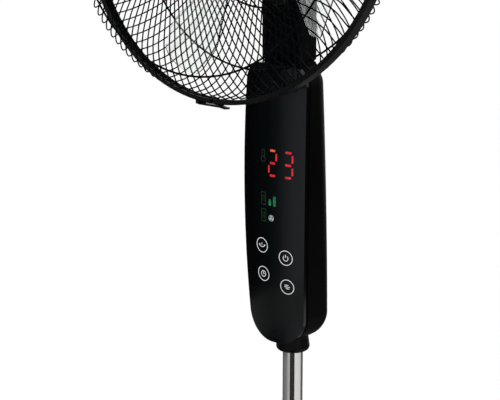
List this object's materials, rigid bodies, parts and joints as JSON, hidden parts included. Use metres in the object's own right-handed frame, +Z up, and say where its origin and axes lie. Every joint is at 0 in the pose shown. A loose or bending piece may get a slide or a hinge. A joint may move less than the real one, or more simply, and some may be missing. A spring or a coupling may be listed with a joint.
{
  "type": "pedestal fan",
  "caption": "Pedestal fan with a round weighted base, telescopic pole, touch-panel column, tilting and swinging motor head, clear blades and swirled wire guards.",
  "frame": {"origin": "on the floor under the pole's axis", "axes": "+Z up, the fan blows towards -Y"},
  "size_m": [0.43, 0.4, 1.221],
  "materials": {
    "black_gloss": "piano black gloss",
    "black_satin": "black satin",
    "black_matte": "black, fine texture",
    "black_paint": "black powder coat",
    "wire": "black coated wire",
    "cast_weight": "cast",
    "steel": "zinc plated",
    "chrome": "mirror chrome",
    "aluminium": "die cast",
    "brass": "sintered",
    "copper": "enamelled copper",
    "rubber": "matte",
    "circuit": "green board",
    "display": "smoked",
    "white_case": "white",
    "clear_blade": "clear, slightly smoked"
  },
  "bodies": {
    "stand": {"base_cover": "black_gloss", "base_weight": "cast_weight", "base_screws": "steel", "base_feet": "rubber", "tube_flange": "black_paint", "flange_bolts": "steel", "outer_tube": "chrome", "tube_sleeve": "black_matte"},
    "height_clamp": {"height_nut": "black_matte"},
    "column": {"inner_tube": "chrome", "tube_collar": "black_gloss", "spine": "steel", "rear_shell": "black_satin", "front_panel": "black_gloss", "shell_screws": "steel", "display_board": "circuit", "digit_display": "display", "touch_pads": "rubber", "power_board": "circuit", "run_capacitor": "white_case", "cord_gland": "rubber", "neck": "black_satin", "neck_screws": "steel", "tilt_bolt": "steel", "tilt_nut": "steel", "tilt_washers": "black_matte"},
    "swivel": {"swivel_block": "black_matte", "swing_shaft": "steel", "swing_clip": "steel", "swing_gear": "white_case"},
    "head": {"swing_motor": "steel", "swing_bush": "brass", "motor_bracket": "steel", "bracket_screws": "steel", "bottom_plate": "black_satin", "front_bell": "aluminium", "rear_bell": "aluminium", "motor_bushes": "brass", "stator_core": "steel", "stator_winding": "copper", "motor_front_cover": "black_satin", "rear_cover": "black_satin", "cover_screws": "steel", "rear_guard_plate": "black_paint", "guard_nut": "black_matte", "rear_guard_hoops": "wire", "rear_guard_ribs": "wire", "front_guard_hoops": "wire", "front_guard_ribs": "wire", "front_badge": "black_gloss", "badge_plate": "black_matte", "guard_ring": "black_satin"},
    "pinion": {"swing_pinion": "white_case"},
    "latch": {"ring_latch": "black_satin"},
    "rotor": {"shaft": "steel", "rotor_core": "steel", "drive_pin": "steel", "fan_blade": "clear_blade", "spinner": "black_matte"}
  },
  "joints": [
    {"name": "height_slide", "type": "slide", "parent": "stand", "child": "column", "axis": [0, 0, 1], "range_m": [-0.07, 0.11]},
    {"name": "clamp_turn", "type": "hinge", "parent": "stand", "child": "height_clamp", "pos_m": [0, 0, 0.375], "axis": [0, 0, 1], "range_deg": [0, 120]},
    {"name": "tilt", "type": "hinge", "parent": "column", "child": "swivel", "pos_m": [0, -0.0105, 0.895], "axis": [1, 0, 0], "range_deg": [-14, 12]},
    {"name": "swing", "type": "hinge", "parent": "swivel", "child": "head", "pos_m": [0, -0.00721, 0.92633], "axis": [0, 0.1045, 0.9945], "range_deg": [-40, 40]},
    {"name": "pinion_turn", "type": "hinge", "parent": "head", "child": "pinion", "pos_m": [0, 0.03257, 0.92215], "axis": [0, 0.1045, 0.9945], "range_deg": [-120, 120]},
    {"name": "rotor_spin", "type": "hinge", "parent": "head", "child": "rotor", "pos_m": [0, -0.11059, 1.00657], "axis": [0, -0.9945, 0.1045], "continuous": true},
    {"name": "latch_swing", "type": "hinge", "parent": "head", "child": "latch", "pos_m": [-0.022, -0.13311, 0.79227], "axis": [0, 0.9945, -0.1045], "range_deg": [0, 100]}
  ],
  "couplings": [
    {"joint": "pinion_turn", "follows": "swing", "ratio": 3}
  ]
}
